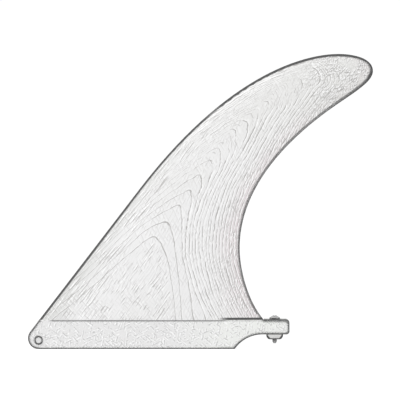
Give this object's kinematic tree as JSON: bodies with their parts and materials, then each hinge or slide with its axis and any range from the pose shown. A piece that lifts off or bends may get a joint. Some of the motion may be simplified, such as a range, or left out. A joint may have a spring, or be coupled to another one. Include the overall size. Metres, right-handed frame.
{
  "type": "longboard fin",
  "caption": "Raked single fin for a longboard: a foiled wooden blade on a moulded slide-in base tab, with a front cross pin and a rear screw with its clamp plate.",
  "frame": {"origin": "centre of the front cross pin, on the fin's middle plane, where the tab locates in the fin box", "axes": "+X from the leading edge towards the rear screw, +Y across the fin, +Z from the tab's foot up to the blade's tip"},
  "size_m": [0.2629, 0.0142, 0.2253],
  "materials": {
    "coated_wood": "pale bleached wood with cathedral grain under a clear satin coat",
    "moulded_tab": "pale glass-filled resin, faintly mottled, satin",
    "stainless_pin": "turned, satin",
    "stainless_screw": "bright machine screw, satin",
    "stainless_plate": "tumbled, satin"
  },
  "bodies": {
    "root": {"blade": "coated_wood", "base_tab": "moulded_tab", "front_pin": "stainless_pin", "clamp_screw": "stainless_screw", "clamp_plate": "stainless_plate"}
  },
  "joints": []
}
